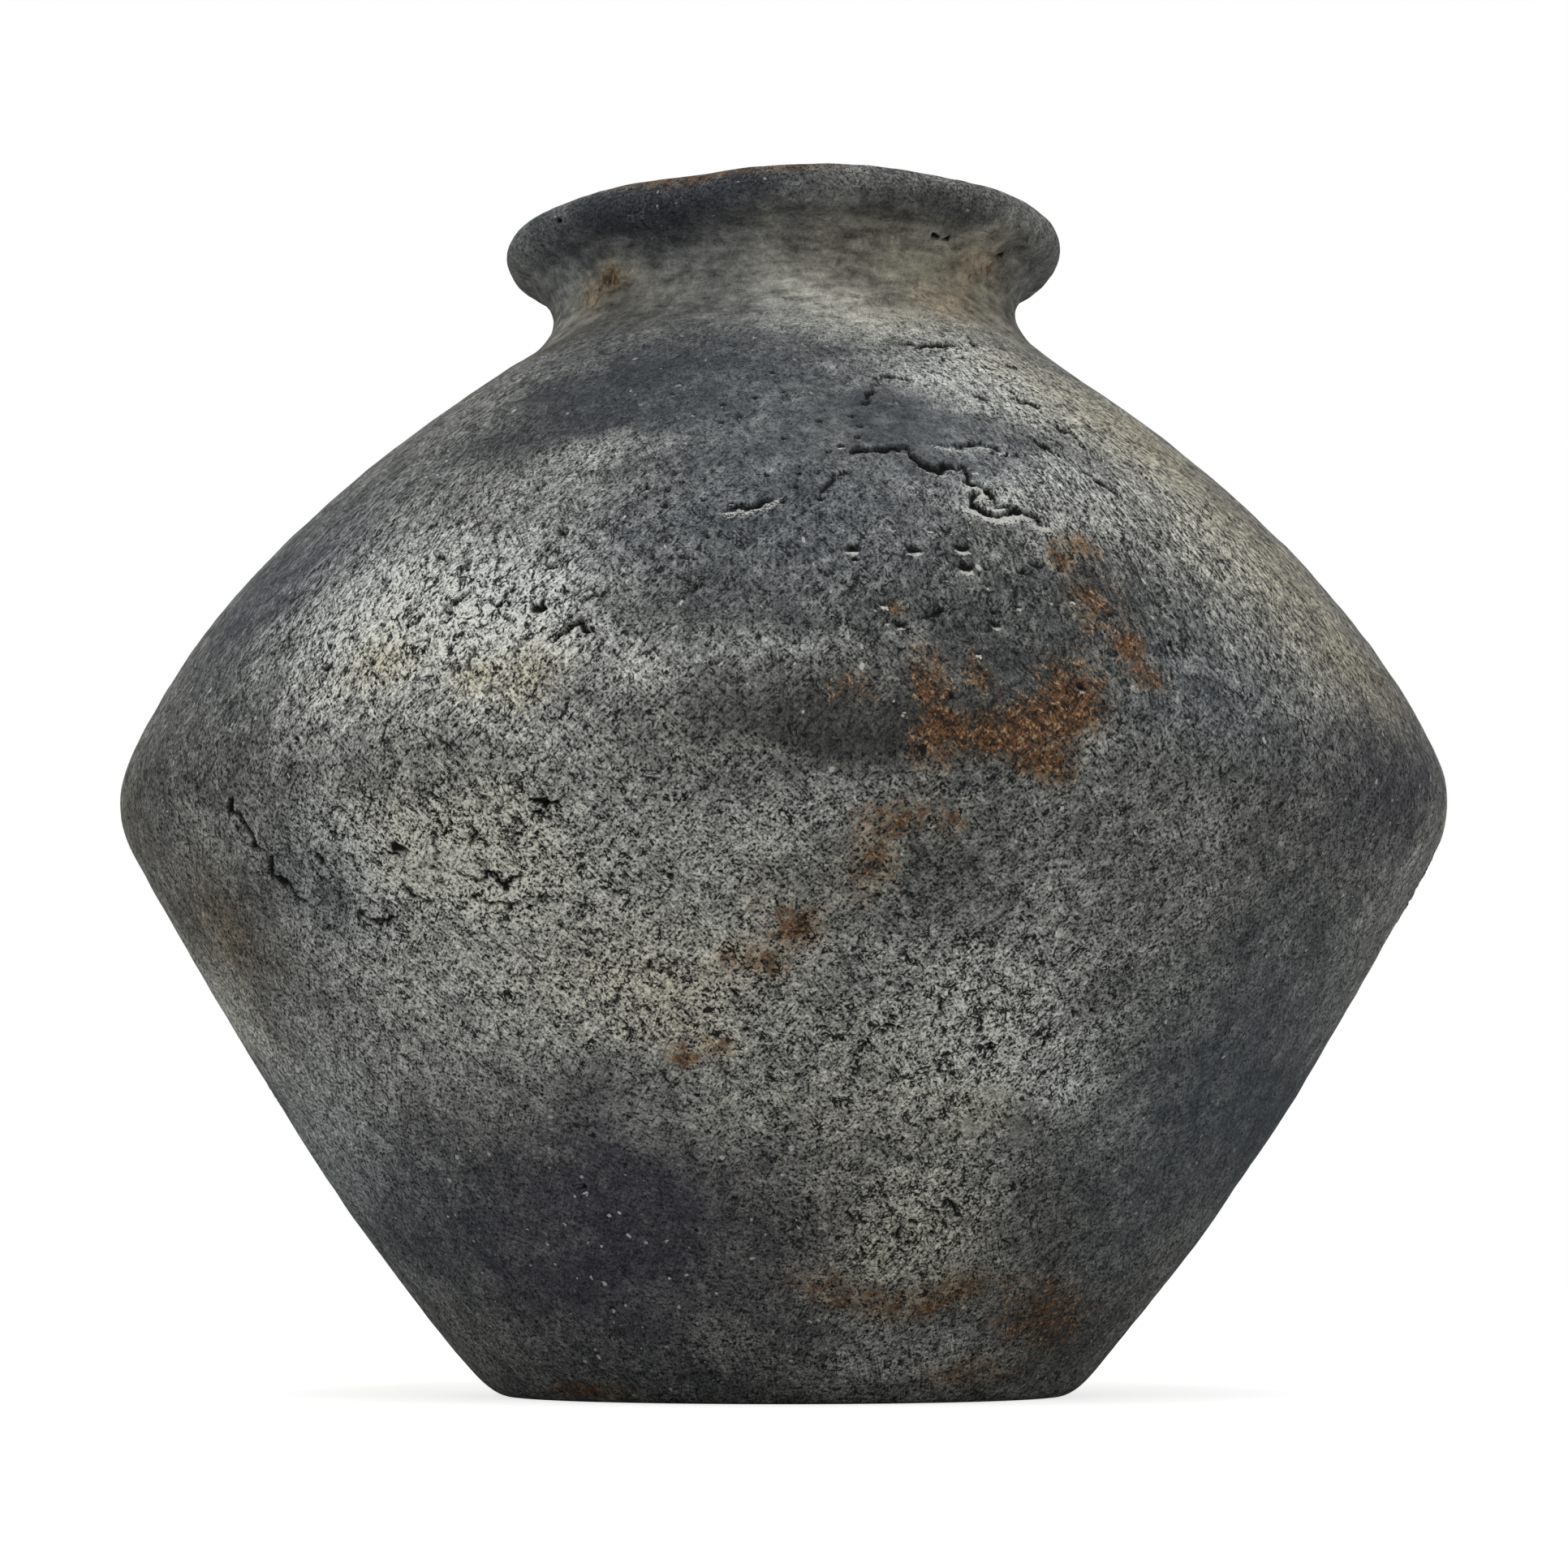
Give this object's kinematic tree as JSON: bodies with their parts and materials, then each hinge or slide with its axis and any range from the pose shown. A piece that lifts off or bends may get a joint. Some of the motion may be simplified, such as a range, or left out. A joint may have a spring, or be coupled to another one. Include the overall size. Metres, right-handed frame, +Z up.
{
  "type": "ceramic vase",
  "caption": "Wide-bellied hand-built stoneware vase with a narrow foot, a short waisted neck and a rolled lip; rough unglazed grey surface, for flowers or display.",
  "frame": {"origin": "middle of the foot, on the surface the vase stands on", "axes": "+Z up along the vase's axis; -Y faces the picture's camera"},
  "size_m": [0.305, 0.305, 0.2716],
  "materials": {
    "outer_clay": "dry, matte, weathered grey with pale slip, charcoal and rust patches",
    "seam_clay": "bare fired clay, matte, finger-smoothed"
  },
  "bodies": {
    "root": {"foot_slab": "outer_clay", "lower_wall": "outer_clay", "shoulder_wall": "outer_clay", "neck_collar": "outer_clay", "lip_coil": "outer_clay", "base_seam_coil": "seam_clay", "belly_seam_coil": "seam_clay", "neck_seam_coil": "seam_clay"}
  },
  "joints": []
}
